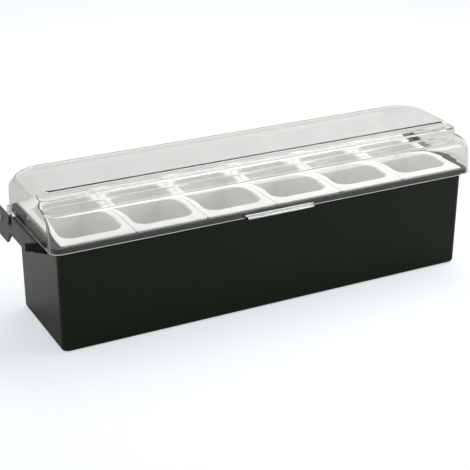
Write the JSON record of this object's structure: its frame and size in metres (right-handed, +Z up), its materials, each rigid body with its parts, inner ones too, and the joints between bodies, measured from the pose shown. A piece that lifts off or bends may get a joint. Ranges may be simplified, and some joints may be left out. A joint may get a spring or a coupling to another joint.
{
  "type": "hinged-lid condiment caddy",
  "caption": "Long box of lift-out trays for condiments under a clear stepped lid, hinged at the back, with a short handle at each end.",
  "frame": {"origin": "middle of the base's flat underside, on the surface that it stands on", "axes": "+X along the length towards the right end as seen from the front, +Y towards the hinged back, +Z up"},
  "size_m": [0.524, 0.148, 0.1624],
  "materials": {
    "base_plastic": "satin, finely textured black",
    "tray_plastic": "satin, slightly translucent white",
    "clear_plastic": "polished clear",
    "pin_steel": "brushed"
  },
  "bodies": {
    "base": {"base_box": "base_plastic", "hinge_pin_left": "pin_steel", "hinge_pin_right": "pin_steel"},
    "lid": {"dome_lid": "clear_plastic", "lid_grip": "clear_plastic"},
    "tray_1": {"tray_1": "tray_plastic"},
    "tray_2": {"tray_2": "tray_plastic"},
    "tray_3": {"tray_3": "tray_plastic"},
    "tray_4": {"tray_4": "tray_plastic"},
    "tray_5": {"tray_5": "tray_plastic"},
    "tray_6": {"tray_6": "tray_plastic"}
  },
  "joints": [
    {"name": "lid_hinge", "type": "hinge", "parent": "base", "child": "lid", "pos_m": [0, 0.0614, 0.1068], "axis": [-1, 0, 0], "range_deg": [0, 105]},
    {"name": "tray_1_lift", "type": "slide", "parent": "base", "child": "tray_1", "axis": [0, 0, 1], "range_m": [0, 0.022]},
    {"name": "tray_2_lift", "type": "slide", "parent": "base", "child": "tray_2", "axis": [0, 0, 1], "range_m": [0, 0.022]},
    {"name": "tray_3_lift", "type": "slide", "parent": "base", "child": "tray_3", "axis": [0, 0, 1], "range_m": [0, 0.022]},
    {"name": "tray_4_lift", "type": "slide", "parent": "base", "child": "tray_4", "axis": [0, 0, 1], "range_m": [0, 0.022]},
    {"name": "tray_5_lift", "type": "slide", "parent": "base", "child": "tray_5", "axis": [0, 0, 1], "range_m": [0, 0.022]},
    {"name": "tray_6_lift", "type": "slide", "parent": "base", "child": "tray_6", "axis": [0, 0, 1], "range_m": [0, 0.022]}
  ]
}
